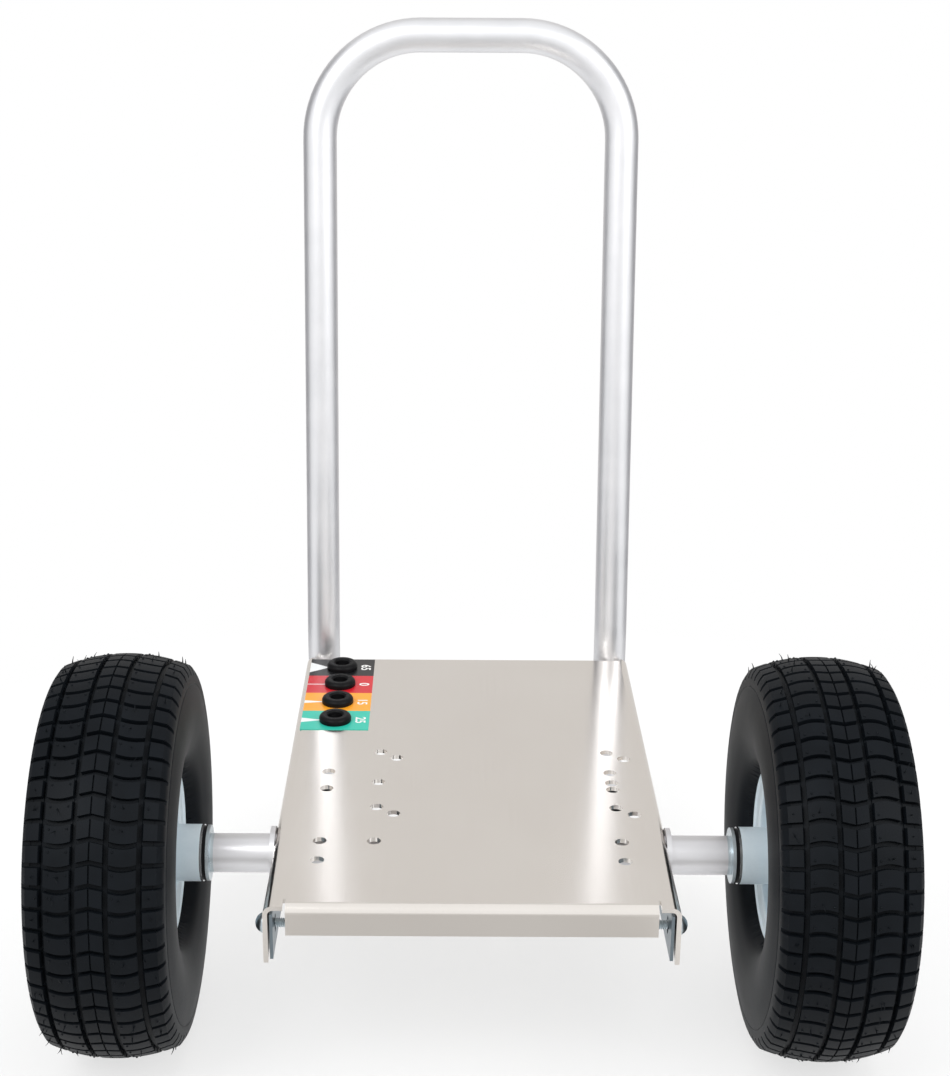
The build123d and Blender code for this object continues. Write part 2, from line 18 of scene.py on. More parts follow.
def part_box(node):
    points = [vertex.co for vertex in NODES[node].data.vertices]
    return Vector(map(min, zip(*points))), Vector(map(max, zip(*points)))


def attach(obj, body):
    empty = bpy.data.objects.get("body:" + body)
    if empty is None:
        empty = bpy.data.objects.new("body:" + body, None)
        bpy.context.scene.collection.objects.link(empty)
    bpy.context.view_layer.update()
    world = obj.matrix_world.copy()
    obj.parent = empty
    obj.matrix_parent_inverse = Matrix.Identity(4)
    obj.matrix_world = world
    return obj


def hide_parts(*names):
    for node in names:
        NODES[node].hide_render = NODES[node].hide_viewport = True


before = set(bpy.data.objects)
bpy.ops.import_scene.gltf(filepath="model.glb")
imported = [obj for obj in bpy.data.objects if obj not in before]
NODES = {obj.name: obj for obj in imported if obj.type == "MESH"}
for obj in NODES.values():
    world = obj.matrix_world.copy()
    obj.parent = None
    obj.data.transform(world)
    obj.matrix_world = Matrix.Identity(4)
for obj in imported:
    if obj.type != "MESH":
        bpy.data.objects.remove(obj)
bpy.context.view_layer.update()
MM = 0.001
SIDES = {"left": -1.0, "right": 1.0}


def spans(low, high):
    """A box's three sizes in whole millimetres: each high side less its low side."""
    return [round((h - l) / MM) for l, h in zip(low, high)]


# %% [markdown]
# Every place is read back from the frame. Written numbers would do too, but these follow the cart
# if a size changes. The wheels turn about one line through the middle of both tyres, so the right
# tyre's box gives the tyre's size, the axle's height and the wheel's distance from the middle.

# %% Places read from the frame
deck_low, deck_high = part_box("base_plate")
tyre_boxes = {side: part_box(f"tyre_{side}") for side in SIDES}
tyre_low, tyre_high = tyre_boxes["right"]
TYRE_R = (tyre_high[2] - tyre_low[2]) / 2
TYRE_HALF = (tyre_high[0] - tyre_low[0]) / 2
WHEEL_X = (tyre_low[0] + tyre_high[0]) / 2
AXLE_Y = (tyre_low[1] + tyre_high[1]) / 2
AXLE_Z = (tyre_low[2] + tyre_high[2]) / 2
print("deck with its flanges in mm:", spans(deck_low, deck_high))
print(f"tyre radius {TYRE_R / MM:.1f}, wheel centre x {WHEEL_X / MM:.1f}, axle z {AXLE_Z / MM:.1f}")

# %% [markdown]
# ## Shader maths as plain expressions
#
# A finish such as brushed steel is mostly arithmetic on coordinates and noise. The nodes could be
# made one by one, but then the formula is lost among the links. A small class wraps a node's output
# and overloads the operators, so that a mask reads like a formula.


# %% A socket that can be added and multiplied
class Value:
    """One output socket. A sum, difference or product of values adds the Math node that it names."""

    def __init__(self, graph, socket):
        self.graph = graph
        self.socket = socket

    def math(self, operation, *others):
        """Any other operation of the Math node, with this value first."""
        return self.graph.node("ShaderNodeMath", {"operation": operation}, [self, *others])

    def __add__(self, other):
        return self.math("ADD", other)

    __radd__ = __add__

    def __mul__(self, other):
        return self.math("MULTIPLY", other)

    __rmul__ = __mul__

    def __sub__(self, other):
        return self.math("SUBTRACT", other)

    def __rsub__(self, other):
        return self.graph.node("ShaderNodeMath", {"operation": "SUBTRACT"}, [other, self])

    def above(self, other):
        """1 where this value is greater than the other, and 0 elsewhere."""
        return self.math("GREATER_THAN", other)

    def below(self, other):
        """1 where this value is less than the other, and 0 elsewhere."""
        return self.math("LESS_THAN", other)

    def limited(self):
        """This value held between 0 and 1."""
        return self.graph.node("ShaderNodeClamp", {}, [self])


print("operators: + - * above below limited")

# %% [markdown]
# One method makes every other kind of node from its type, its settings and the values of its
# sockets, in a material and in the world alike. A material adds its Principled node, and the
# coordinates, noise, colour mix and bump that nearly every finish here is built from.

# %% Node graphs and materials
# The Mix node has one set of sockets for each kind of data, so the colour ones go by number
MIX_FACTOR, MIX_FIRST, MIX_SECOND, MIX_RESULT = 0, 6, 7, 2
PLAIN = (1.0, 1.0, 1.0)


class Graph:
    """The nodes of a material or a world."""

    def __init__(self, tree):
        self.tree = tree

    def plug(self, socket, value):
        """A Value is linked to the socket. A number or a colour is set on it."""
        if isinstance(value, Value):
            self.tree.links.new(value.socket, socket)
        else:
            socket.default_value = value

    def node(self, kind, settings, inputs, output=0):
        """A node of any kind. inputs is a list in socket order or a dictionary by name."""
        made = self.tree.nodes.new(kind)
        for key, value in settings.items():
            setattr(made, key, value)
        pairs = inputs.items() if isinstance(inputs, dict) else enumerate(inputs)
        for key, value in pairs:
            self.plug(made.inputs[key], value)
        return Value(self, made.outputs[output])


class Shader(Graph):
    """One material with its Principled node."""

    def __init__(self, name, colour, roughness, metallic=0.0):
        self.material = bpy.data.materials.new(name)
        self.material.use_nodes = True
        super().__init__(self.material.node_tree)
        self.main = self.tree.nodes["Principled BSDF"]
        self.set("Base Color", (*colour, 1.0))
        self.set("Roughness", roughness)
        self.set("Metallic", metallic)
        self.material.diffuse_color = (*colour, 1.0)

    def set(self, socket, value):
        self.plug(self.main.inputs[socket], value)

    def spot(self):
        """The object's own coordinates in metres."""
        return self.node("ShaderNodeTexCoord", {}, [], "Object")

    def noise(self, size, detail, stretch=PLAIN):
        """Noise whose blobs are about size metres across. A stretch below 1 draws them out."""
        place = self.node("ShaderNodeMapping", {}, {"Vector": self.spot(), "Scale": stretch})
        inputs = {"Vector": place, "Scale": 1.0 / size, "Detail": detail, "Roughness": 0.5}
        return self.node("ShaderNodeTexNoise", {}, inputs)

    def mix(self, factor, first, second):
        """first where factor is 0 and second where it is 1."""
        first = (*first, 1.0) if isinstance(first, tuple) else first
        second = (*second, 1.0) if isinstance(second, tuple) else second
        inputs = {MIX_FACTOR: factor, MIX_FIRST: first, MIX_SECOND: second}
        return self.node("ShaderNodeMix", {"data_type": "RGBA"}, inputs, MIX_RESULT)

    def bump(self, height, depth):
        """Bend the normal by a height from 0 to 1 times a depth in metres."""
        bend = self.node("ShaderNodeBump", {}, {"Height": height, "Distance": depth, "Strength": 1.0})
        self.set("Normal", bend)


def from_srgb(red, green, blue):
    """A colour on the 0 to 255 scale, as the linear numbers that Blender mixes: the share c is
    c / 12.92 up to 0.04045, and ((c + 0.055) / 1.055) to the power 2.4 above it."""
    share = np.array([red, green, blue]) / 255.0
    linear = np.where(share <= 0.04045, share / 12.92, ((share + 0.055) / 1.055) ** 2.4)
    return tuple(float(c) for c in linear)


print("middle grey is", round(from_srgb(128, 128, 128)[0], 3), "in linear numbers")

# %% [markdown]
# ## The metals
#
# The deck is satin stainless sheet: it mirrors the room, a little blurred, with very fine lines
# along the sheet and a faint warm cast. The handle and the axle tube are drawn aluminium, brighter
# and more matt. Rims and hubs are plated a pale blue-grey with a cloudy bloom, and the fasteners
# have such a plating too, but shinier. Photographed textures could show this, but they need UV maps
# and suit one size only. Noise on the object's own coordinates needs neither, and the same noise
# drawn out along one axis gives the lines.

# %% Metal finishes
# Widths, depths and sizes of the patterns are in metres. A stretch is the share of the noise's
# scale along the lines, so 0.016 draws each blob out about sixty times
FULL_METAL = 1.0
BRUSH_WIDTH = 0.0012
BRUSH_STRETCH = 0.016
BRUSH_DEPTH = 0.000006
DECK_CLOUD = 0.09
DECK_ROUGHNESS = 0.13
DRAW_WIDTH = 0.0011
DRAW_STRETCH = 0.03
DRAW_DEPTH = 0.000004
TUBE_BLOOM = 0.03
PLATING_CLOUD = 0.012
PLATING_GRAIN = 0.0016
PLATING_DEPTH = 0.00001


def satin_sheet():
    """The tone is 0.35 of the lines, which run along Y, plus 0.65 of the cloud. The roughness is
    the deck's own plus 0.04 of the lines and 0.05 of the cloud."""
    shader = Shader("deck_stainless", from_srgb(234, 229, 223), DECK_ROUGHNESS, FULL_METAL)
    lines = shader.noise(BRUSH_WIDTH, 2.0, (1.0, BRUSH_STRETCH, 1.0))
    cloud = shader.noise(DECK_CLOUD, 2.0)
    tone = (lines * 0.35 + cloud * 0.65).limited()
    shader.set("Roughness", DECK_ROUGHNESS + lines * 0.04 + cloud * 0.05)
    shader.set("Base Color", shader.mix(tone, from_srgb(230, 224, 218), from_srgb(240, 236, 231)))
    shader.bump(lines, BRUSH_DEPTH)
    return shader.material


def drawn_tube(name, low_tone, high_tone, along, roughness):
    """Draw lines run along the axis X, Y or Z. The roughness is the tube's own plus 0.06 of the
    lines and 0.08 of the bloom, which also sets the tone."""
    shader = Shader(name, high_tone, roughness, FULL_METAL)
    stretch = tuple(DRAW_STRETCH if axis == along else 1.0 for axis in "XYZ")
    lines = shader.noise(DRAW_WIDTH, 2.0, stretch)
    bloom = shader.noise(TUBE_BLOOM, 3.0)
    shader.set("Roughness", roughness + lines * 0.06 + bloom * 0.08)
    shader.set("Base Color", shader.mix(bloom, low_tone, high_tone))
    shader.bump(lines, DRAW_DEPTH)
    return shader.material


def plated(name, low_tone, high_tone, roughness, metallic=FULL_METAL):
    """The tone is 0.7 of a cloud plus 0.3 of a grain. The roughness runs with it, from 0.05 under
    the plating's own to 0.07 above."""
    shader = Shader(name, high_tone, roughness, metallic)
    cloud = shader.noise(PLATING_CLOUD, 4.0)
    grain = shader.noise(PLATING_GRAIN, 2.0)
    tone = (cloud * 0.7 + grain * 0.3).limited()
    shader.set("Base Color", shader.mix(tone, low_tone, high_tone))
    shader.set("Roughness", roughness - 0.05 + tone * 0.12)
    shader.bump(grain, PLATING_DEPTH)
    return shader.material


STAINLESS = satin_sheet()
HANDLE_METAL = drawn_tube("handle_aluminium", from_srgb(222, 223, 226), from_srgb(238, 238, 240), "Z", 0.36)
AXLE_METAL = drawn_tube("axle_aluminium", from_srgb(212, 211, 214), from_srgb(232, 232, 234), "X", 0.26)
RIM_METAL = plated("rim_plating", from_srgb(206, 220, 228), from_srgb(228, 238, 243), 0.38, 0.3)
FASTENER = plated("fastener_plating", from_srgb(176, 188, 194), from_srgb(206, 214, 218), 0.28)
RAIL_METAL = plated("rail_plating", from_srgb(112, 124, 132), from_srgb(142, 153, 160), 0.34)
STEEL = plated("ground_steel", from_srgb(190, 192, 194), from_srgb(214, 216, 218), 0.18)
METALS = (STAINLESS, HANDLE_METAL, AXLE_METAL, RIM_METAL, FASTENER, RAIL_METAL, STEEL)
print("metals:", [metal.name for metal in METALS])

# %% [markdown]
# ## The rubbers and plastics
#
# Tyre rubber is a dull blue-black with a fine grain and a dusty bloom in random patches. Moulded
# rubber, as in the grommets and the feet, is smoother and shows a soft highlight on its rims. The
# grain could be modelled, but it is finer than a tenth of a millimetre, so a bump is enough.

# %% Rubber and plastic finishes
RUBBER_CLOUD = 0.02
RUBBER_GRAIN = 0.0007


def rubber(name, dark, light, roughness, depth, gloss):
    """The cloud sets the tone. The roughness runs from 0.06 under the rubber's own, by 0.08 of the
    grain and 0.08 of the cloud. depth is the grain's in metres, gloss the strength of highlights."""
    shader = Shader(name, dark, roughness)
    cloud = shader.noise(RUBBER_CLOUD, 4.0)
    grain = shader.noise(RUBBER_GRAIN, 3.0)
    shader.set("Base Color", shader.mix(cloud, dark, light))
    shader.set("Roughness", roughness - 0.06 + grain * 0.08 + cloud * 0.08)
    shader.set("Specular IOR Level", gloss)
    shader.bump(grain, depth)
    return shader.material


TYRE_RUBBER = rubber("tyre_rubber", from_srgb(10, 13, 16), from_srgb(20, 24, 29), 0.46, 0.00006, 0.08)
SMOOTH_RUBBER = rubber("moulded_rubber", from_srgb(12, 12, 14), from_srgb(22, 22, 24), 0.4, 0.00002, 0.12)
BLACK_PLASTIC = rubber("valve_cap_plastic", from_srgb(24, 24, 25), from_srgb(36, 36, 37), 0.38, 0.00001, 0.4)
print("rubbers:", TYRE_RUBBER.name, SMOOTH_RUBBER.name, BLACK_PLASTIC.name)

# %% [markdown]
# ## Surfaces from grids
#
# A surface is an array of points with two directions. One helper numbers the quads and joins the
# last row or column to the first where the form closes. Another writes them into a mesh, and turns
# the faces outwards by the sign of the enclosed volume. Blender could recalculate the normals, but
# the sum is quicker and sure on a closed form.


# %% Grid to mesh
def grid_faces(rows, columns, wrap_rows, wrap_columns):
    """Corner numbers of each quad: a point, its neighbour along, the one across, the one below."""
    r = np.arange(rows if wrap_rows else rows - 1)
    c = np.arange(columns if wrap_columns else columns - 1)
    r, c = np.meshgrid(r, c, indexing="ij")
    down, right = (r + 1) % rows, (c + 1) % columns
    quads = [r * columns + c, r * columns + right, down * columns + right, down * columns + c]
    return np.stack(quads, -1).reshape(-1, 4)


def enclosed(points, faces):
    """Six times the signed volume: each quad's two triangles as triple products, added up."""
    a, b, c, d = (points[faces[:, i]] for i in range(4))
    first = np.einsum("ij,ij->i", a, np.cross(b, c))
    second = np.einsum("ij,ij->i", a, np.cross(c, d))
    return float((first + second).sum())


def placed(name, data):
    """A new object with this data, linked into the scene."""
    made = bpy.data.objects.new(name, data)
    bpy.context.scene.collection.objects.link(made)
    return made


def mesh_piece(name, points, faces, material, body, crease, node=None):
    """A mesh of quads that rides on a body, smooth except at edges sharper than crease degrees."""
    if enclosed(points - points.mean(0), faces) < 0:
        faces = faces[:, ::-1]
    mesh = bpy.data.meshes.new(name)
    mesh.vertices.add(len(points))
    mesh.vertices.foreach_set("co", points.astype(np.float32).ravel())
    mesh.loops.add(faces.size)
    mesh.loops.foreach_set("vertex_index", faces.astype(np.int32).ravel())
    mesh.polygons.add(len(faces))
    mesh.polygons.foreach_set("loop_start", np.arange(len(faces), dtype=np.int32) * 4)
    mesh.polygons.foreach_set("use_smooth", np.ones(len(faces), bool))
    mesh.update(calc_edges=True)
    mesh.validate()
    mesh.set_sharp_from_angle(angle=math.radians(crease))
    mesh.materials.append(material)
    piece = placed(name, mesh)
    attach(piece, body)
    if node:
        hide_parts(*node)
    return piece


print("a closed ring of 3 by 4 points has", len(grid_faces(3, 4, True, True)), "quads")

# %% [markdown]
# ## The tyre
#
# The tread has five ribs between four grooves. Crosswise cuts part each rib into sixty blocks. The
# cuts swing: an arch over the middle rib and a dip in the ribs beside it, so the blocks look like
# scales. The blocks could be cut from the plain tyre by booleans, but hundreds of cuts are slow and
# leave ragged faces. Here the whole tyre is one grid, with columns around the wheel and rows across
# it, and what is cut away is only a depth at each point. Rows stand in pairs at each groove's edge,
# so that its walls are steep.

# %% Tread sizes in millimetres, and the rows across the tread
CROWN_R = TYRE_R / MM
HALF_WIDTH = TYRE_HALF / MM
PITCHES = 60
PITCH_TURN = 2 * np.pi / PITCHES
PHASE = -0.23  # where the first block starts, in pitches from the line that points to the rear
RIB_PITCH = 19.4
GROOVES = np.array([0.5, 1.5]) * RIB_PITCH
GROOVE_HALF = 1.35
CUT_HALF = 1.2
WALL_RUN = 0.42  # how far a groove's wall leans out over its whole depth
TREAD_DEPTH = 4.0
SHOULDER_X = 38.8
SHOULDER_DROP = 7.4
MIDDLE_ROWS = np.array([0.12, 0.5, 2.6, 5.2])
SECOND_ROWS = np.linspace(13.4, 25.4, 6)
SHOULDER_ROWS = np.array([32.6, 34.8, 36.8, SHOULDER_X])
BLOCK_COLUMNS = 3


def cut_edges(half):
    """The four places where the walls of a cut of this half width start and end."""
    return np.array([-half - WALL_RUN, -half, half, half + WALL_RUN])


def rib_rows():
    """Places across the tread where a row of points is needed, symmetric about the middle."""
    inner, outer = (middle + cut_edges(GROOVE_HALF) for middle in GROOVES)
    half = np.concatenate([MIDDLE_ROWS, inner, SECOND_ROWS, outer, SHOULDER_ROWS])
    return np.concatenate([-half[::-1], half])


def pitch_columns():
    """Places within one pitch where a column is needed: a cut's four edges and the block behind."""
    pitch = CROWN_R * PITCH_TURN
    block = np.linspace(CUT_HALF + WALL_RUN, pitch - CUT_HALF - WALL_RUN, BLOCK_COLUMNS + 2)
    return np.concatenate([cut_edges(CUT_HALF), block[1:-1]])


def crown_r(x):
    """Radius of the crown: a circle through the middle and both shoulders, r = R - b + sqrt(b2 - x2)."""
    ball = (SHOULDER_X**2 + SHOULDER_DROP**2) / (2 * SHOULDER_DROP)
    return CROWN_R - ball + np.sqrt(ball**2 - x**2)


print("rows across the tread:", len(rib_rows()), "and columns in a pitch:", len(pitch_columns()))

# %% [markdown]
# Below the shoulder the cuts run out in short lugs, one fine ring line goes around the wall, and
# the wall turns in to the rim. Its profile is a few listed places with a cubic drawn through them,
# which stays round where straight runs would show as facets. Inside, a plain outline closes the
# rubber around the air space.

# %% The sidewall and the inside
LUG_END = 8.0
LUG_ROWS = np.array([0.7, 1.6, 2.8, 4.2, 5.8, LUG_END])
RING_LINE = 13.0
RING_ROWS = RING_LINE + np.array([-1.0, -0.45, 0.0, 0.45, 1.0])
WALL_ROWS = 22
OPENING_R = 58.0
BEAD_R = 50.9
BEAD_X = 27.0
WALL_INSET = 1.0
CAVITY_INSET = 6.5


def smooth_through(at, values, wanted):
    """A cubic through the values. With a and b the ends of a run and m their slopes, it is
    a + m0 t + (3 (b - a) - 2 m0 - m1) t squared + (m0 + m1 - 2 (b - a)) t cubed."""
    slope = np.gradient(values, at)
    index = np.clip(np.searchsorted(at, wanted, side="right") - 1, 0, len(at) - 2)
    width = at[index + 1] - at[index]
    t = (wanted - at[index]) / width
    rise = values[index + 1] - values[index]
    first, last = slope[index] * width, slope[index + 1] * width
    square, cube = 3 * rise - 2 * first - last, first + last - 2 * rise
    return values[index] + first * t + square * t**2 + cube * t**3


def wall_curve():
    """The right sidewall in (across, radius), from the shoulder out to its widest place and in to
    the rim's opening, and how far down the wall each of its points lies."""
    widest = HALF_WIDTH - WALL_INSET
    places = np.array([
        (SHOULDER_X, CROWN_R - SHOULDER_DROP),
        (SHOULDER_X + 2.7, CROWN_R - SHOULDER_DROP - 4.2),
        (widest - 2.0, CROWN_R - 20.0),
        (widest - 0.2, CROWN_R - 33.0),
        (widest, (CROWN_R + BEAD_R) / 2 - 4.0),
        (widest - 2.0, OPENING_R + 15.0),
        (widest - 6.6, OPENING_R + 4.4),
        (BEAD_X + 5.4, OPENING_R + 0.6),
        (BEAD_X + 1.4, OPENING_R - 2.4),
    ])
    steps = np.linalg.norm(np.diff(places, axis=0), axis=1)
    reach = np.concatenate([[0], np.cumsum(steps)])
    rest = np.linspace(RING_LINE + 3.0, reach[-1], WALL_ROWS)
    down = np.concatenate([LUG_ROWS, [LUG_END + 2.0], RING_ROWS, rest])
    return np.stack([smooth_through(reach, places[:, i], down) for i in range(2)], -1), down


def cavity():
    """From the right bead around the air space to the left bead, in (across, radius)."""
    side = HALF_WIDTH - CAVITY_INSET - 1.0
    right = np.array([
        (BEAD_X, BEAD_R),
        (BEAD_X - 7.0, BEAD_R),
        (side, 80.0),
        (side, 100.0),
        (26.0, 115.0),
        (0.0, 119.0),
    ])
    return np.concatenate([right, right[-2::-1] * (-1.0, 1.0)])


wall = wall_curve()[0]
print("sidewall from radius", round(wall[0, 1], 1), "to", round(wall[-1, 1], 1))

# %% [markdown]
# What is cut away is the deepest of three shapes: the grooves around the wheel, the swinging cuts
# across it, and a hair-thin slit along the middle rib. Each is a ramp that is held between nothing
# and full depth, so that its walls lean a little as a mould's do.

# %% Depth of the cuts
ARCH = 2.2
DIP_ROUND = 0.8
CROSS_SHARE = 0.85
SLIT_SHARE = 0.32
SLIT_HALF = 0.5
SLIT_RUN = 0.38
LUG_ROUND = 0.55
WALL_FADE = 0.999  # just under 1, which marks the tread itself
LINE_DEPTH = 0.45
LINE_HALF = 0.5


def swing(x, hand):
    """Shift of the cross cuts around the tyre: an arch on the middle rib, dips in the next ribs."""
    ribs = np.abs(x) / (RIB_PITCH / 2)
    arch = np.clip(1 - ribs, 0, 1)
    dip = np.sin(np.pi * np.clip((ribs - 1) / 2, 0, 1)) ** DIP_ROUND
    return hand * ARCH * (arch - dip)


def cut_depth(x, along, fade):
    """Depth cut away: the deepest of groove, cross cut and slit, each a clipped ramp. fade is 1 on
    the tread, where grooves and slit run, and falls to 0 down the lugs, with the cross cuts."""
    off = np.abs(np.abs(x)[:, None] - GROOVES).min(1)
    ring = np.clip((GROOVE_HALF + WALL_RUN - off) / WALL_RUN, 0, 1)
    cross = np.clip((CUT_HALF + WALL_RUN - np.abs(along)) / WALL_RUN, 0, 1)
    slit = SLIT_SHARE * np.clip((SLIT_HALF - np.abs(x)) / SLIT_RUN, 0, 1)
    lengthwise = np.maximum(ring, slit)[:, None] * (fade == 1.0)[:, None]
    return TREAD_DEPTH * np.maximum(lengthwise, CROSS_SHARE * cross[None, :] * fade[:, None])


def tyre_outline():
    """The outer outline from opening to opening, its fades, and the depth of the ring line."""
    across = rib_rows()
    middle = np.stack([across, crown_r(across)], -1)
    wall, down = wall_curve()
    fade = np.clip(1 - down / LUG_END, 0, 1) ** LUG_ROUND * WALL_FADE
    line = LINE_DEPTH * np.clip(1 - np.abs(down - RING_LINE) / LINE_HALF, 0, 1)
    outline = np.concatenate([wall[::-1] * (-1.0, 1.0), middle, wall])
    fades = np.concatenate([fade[::-1], np.ones(len(middle)), fade])
    lines = np.concatenate([line[::-1], np.zeros(len(middle)), line])
    return outline, fades, lines


outline, fades = tyre_outline()[:2]
print("deepest cut in mm:", cut_depth(outline[:, 0], pitch_columns(), fades).max())

# %% [markdown]
# The outline minus its normal times the depth is one pitch of the tyre, and sixty copies of it
# stand around the axle. Cutting one block and copying it with an array modifier would leave a seam
# at every copy, and one grid has none. The edge of rubber at the rim's opening is a little uneven,
# as moulded edges are. On the left tyre the cuts swing the other way, so the two are a pair.

# %% The tyres
UNEVEN = 0.28
UNEVEN_SEED = 7
EDGE_ROW = 2  # counted from the rim's opening
TYRE_CREASE = 28.0


def wheel_points(x, r, angle, sign):
    """Wheel coordinates in millimetres to the cart's metres: Y runs with cos and Z with sin."""
    along = x * MM + sign * WHEEL_X
    return np.stack([along, AXLE_Y + r * MM * np.cos(angle), AXLE_Z + r * MM * np.sin(angle)], -1)


def tyre(side, sign):
    """Outline minus normal times depth, turned about the axle, then the cavity's rows close it."""
    outline, fades, lines = tyre_outline()
    tangent = np.gradient(outline, axis=0)
    normal = np.stack([-tangent[:, 1], tangent[:, 0]], -1)
    normal /= np.linalg.norm(normal, axis=1)[:, None]
    local = pitch_columns()
    depth = cut_depth(outline[:, 0], local, fades) + lines[:, None]
    shape = outline[:, None, :] - normal[:, None, :] * depth[..., None]
    turn = (local[None, :] + swing(outline[:, 0], sign)[:, None]) / CROWN_R
    start = (np.arange(PITCHES) + PHASE) * PITCH_TURN
    angle = (start[:, None, None] + turn.T[None]).reshape(-1, len(outline))
    inner = cavity()
    columns = len(angle)
    plain = np.broadcast_to(angle.mean(1)[:, None], (columns, len(inner)))
    angle = np.concatenate([angle, plain], 1)
    outer = (np.tile(shape[..., i].T, (PITCHES, 1)) for i in range(2))
    inside = (np.tile(inner[:, i], (columns, 1)) for i in range(2))
    x, r = (np.concatenate(pair, 1) for pair in zip(outer, inside))
    uneven = np.random.default_rng(UNEVEN_SEED).normal(0.0, UNEVEN, columns)
    r[:, len(outline) - 1 - EDGE_ROW] += uneven
    r[:, EDGE_ROW] += uneven[::-1]
    points = wheel_points(x, r, angle, sign)
    faces = grid_faces(columns, points.shape[1], True, True)
    return mesh_piece(f"tread_{side}", points.reshape(-1, 3), faces, TYRE_RUBBER, f"wheel_{side}",
                      TYRE_CREASE, [f"tyre_{side}"])


tyres = {side: tyre(side, sign) for side, sign in SIDES.items()}
print("tyre quads:", {side: len(t.data.polygons) for side, t in tyres.items()})

# %% [markdown]
# A new tyre still has the thin whiskers and the round stubs that the mould's air vents leave. Hair
# particles could be the whiskers, but those don't export, so each one is a tapered four-sided tube
# of its own, bent a little by its lean. Each tyre draws its whiskers from a seeded row of random
# numbers, so they are the same in every run, and none stands where the tyre meets the floor.

# %% Whiskers and stubs
# Lengths are in millimetres, and a drift, a shift or a clear share of the tyre in radians
WHISKERS = 150
WHISKER_ROWS = (-34.5, -19.4, 19.4, 34.5)
WHISKER_SPREAD = 1.5
WHISKER_LENGTH = 5.5
WHISKER_SHORTEST = 0.35
WHISKER_SINK = 0.4
WHISKER_LEAN = 1.6
WHISKER_DRIFT = 0.016
WHISKER_R = 0.5
WHISKER_TAPER = 0.75
WHISKER_RINGS = 5
WHISKER_CORNERS = 4
WHISKER_CREASE = 60.0
FLOOR_CLEAR = 0.45
STUB_ROWS = (13.6, -13.6, -24.6)
STUB_R = 0.8
STUB_HEIGHT = 0.75
STUB_SINK = 0.05
STUB_SHIFT = 0.01
STUB_FLAT = 0.12
STUB_RINGS = 4
STUB_CORNERS = 8
STUB_CREASE = 40.0
FIRST_SEED = 11


def round_about(corners):
    """The angles of a ring's corners: equal shares of a full turn."""
    return np.arange(corners) * (2 * np.pi / corners)


def small_tubes(name, rings, side, crease):
    """Many tubes in one mesh, from points in tubes, rings and corners. A fan of quads closes each
    end: the first corner with two neighbouring edges at a time."""
    tubes, rows, corners = rings.shape[:3]
    fan = np.array([[0, i, i + 1, i + 2] for i in range(1, corners - 2, 2)])
    far_fan = fan[:, ::-1] + (rows - 1) * corners
    each = np.concatenate([grid_faces(rows, corners, False, True), fan, far_fan])
    shift = np.arange(tubes)[:, None, None] * (rows * corners)
    faces = (each[None] + shift).reshape(-1, 4)
    return mesh_piece(name, rings.reshape(-1, 3), faces, TYRE_RUBBER, f"wheel_{side}", crease)


def whiskers(side, sign, seed):
    """Each whisker's centre line is foot + up t + lean t squared, and its radius falls with t."""
    random = np.random.default_rng(seed)
    x = random.choice(WHISKER_ROWS, WHISKERS) + random.normal(0, WHISKER_SPREAD, WHISKERS)
    angle = (random.integers(0, PITCHES, WHISKERS) + 0.5 + PHASE) * PITCH_TURN
    near_floor = np.abs(np.angle(np.exp(1j * (angle + np.pi / 2)))) < FLOOR_CLEAR
    x, angle = x[~near_floor], angle[~near_floor]
    foot = crown_r(x) - WHISKER_SINK
    length = WHISKER_LENGTH * random.uniform(WHISKER_SHORTEST, 1.0, len(x))
    lean = random.normal(0, WHISKER_LEAN, len(x))
    drift = random.normal(0, WHISKER_DRIFT, len(x))
    t = np.linspace(0, 1, WHISKER_RINGS)
    line_x = x[:, None] + lean[:, None] * t**2
    line_r = foot[:, None] + length[:, None] * t
    line_angle = angle[:, None] + drift[:, None] * t**2
    around = round_about(WHISKER_CORNERS)
    radius = (WHISKER_R * (1 - WHISKER_TAPER * t))[None, :, None]
    ring_x = line_x[..., None] + radius * np.cos(around)
    ring_angle = line_angle[..., None] + radius * np.sin(around) / CROWN_R
    ring_r = np.broadcast_to(line_r[..., None], ring_x.shape)
    rings = wheel_points(ring_x, ring_r, ring_angle, sign)
    return small_tubes(f"tread_whiskers_{side}", rings, side, WHISKER_CREASE)


def stubs(side, sign):
    """Low domes on the ribs beside the middle one: at an angle t from the top, the width is
    R sin t and the height is H cos t."""
    x = np.repeat(STUB_ROWS, PITCHES)
    middles = (np.arange(PITCHES) + 0.5 + PHASE) * PITCH_TURN
    angle = np.tile(middles, len(STUB_ROWS)) + sign * STUB_SHIFT
    t = np.linspace(STUB_FLAT, np.pi / 2, STUB_RINGS)[:, None]
    around = round_about(STUB_CORNERS)
    ring_x = x[:, None, None] + STUB_R * np.sin(t) * np.cos(around)
    ring_angle = angle[:, None, None] + STUB_R * np.sin(t) * np.sin(around) / CROWN_R
    lift = STUB_HEIGHT * np.cos(t) - STUB_SINK
    ring_r = np.broadcast_to(crown_r(x)[:, None, None] + lift, ring_x.shape)
    rings = wheel_points(ring_x, ring_r, ring_angle, sign)
    return small_tubes(f"tread_stubs_{side}", rings, side, STUB_CREASE)


for seed, (side, sign) in enumerate(SIDES.items(), FIRST_SEED):
    hairs = whiskers(side, sign, seed)
    domes = stubs(side, sign)
    print(side, "whisker quads:", len(hairs.data.polygons), "stub quads:", len(domes.data.polygons))

# %% [markdown]
# ## The threaded tie rod
#
# The rod under the front lip is threaded from end to end. A screw modifier could wind the thread,
# but a grid does it in one line: the surface is a cylinder whose radius falls and rises once per
# turn of a helix, with the crests on top and the dark roots between them.

